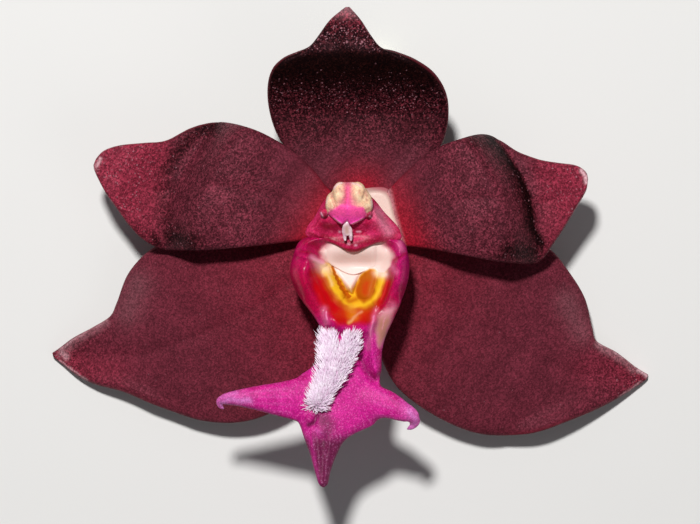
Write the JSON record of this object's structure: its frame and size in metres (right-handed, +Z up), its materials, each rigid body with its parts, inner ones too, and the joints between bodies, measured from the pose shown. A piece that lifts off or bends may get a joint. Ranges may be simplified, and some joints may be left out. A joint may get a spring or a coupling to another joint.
{
  "type": "trichoglottis philippinensis flower",
  "caption": "Picked orchid bloom lying face up: dark maroon sepals and petals, magenta cross-shaped lip with a white hair pad, column and a short stalk.",
  "frame": {"origin": "centre of the bloom's outline, on the surface that it lies on", "axes": "+X across the bloom towards the picture's right, +Y towards the dorsal sepal, +Z up out of the bloom's face"},
  "size_m": [0.0517, 0.0403, 0.0158],
  "materials": {
    "velvet_maroon": "velvety matte petal with a fine sparkle",
    "magenta_lip": "waxy satin petal",
    "crimson_column": "waxy satin petal",
    "white_hair": "dense soft hairs",
    "yellow_callus": "glossy waxy ridge",
    "cream": "waxy satin",
    "stalk": "pale green flesh, faintly ribbed"
  },
  "bodies": {
    "root": {"stalk_and_ovary": "stalk", "dorsal_sepal": "velvet_maroon", "petal_left": "velvet_maroon", "petal_right": "velvet_maroon", "lateral_sepal_left": "velvet_maroon", "lateral_sepal_right": "velvet_maroon", "lip": "magenta_lip", "lip_hair_pad": "white_hair", "throat_callus": "yellow_callus", "throat_tongue": "cream", "column": "crimson_column", "anther_cap": "cream", "rostellum": "cream"}
  },
  "joints": []
}
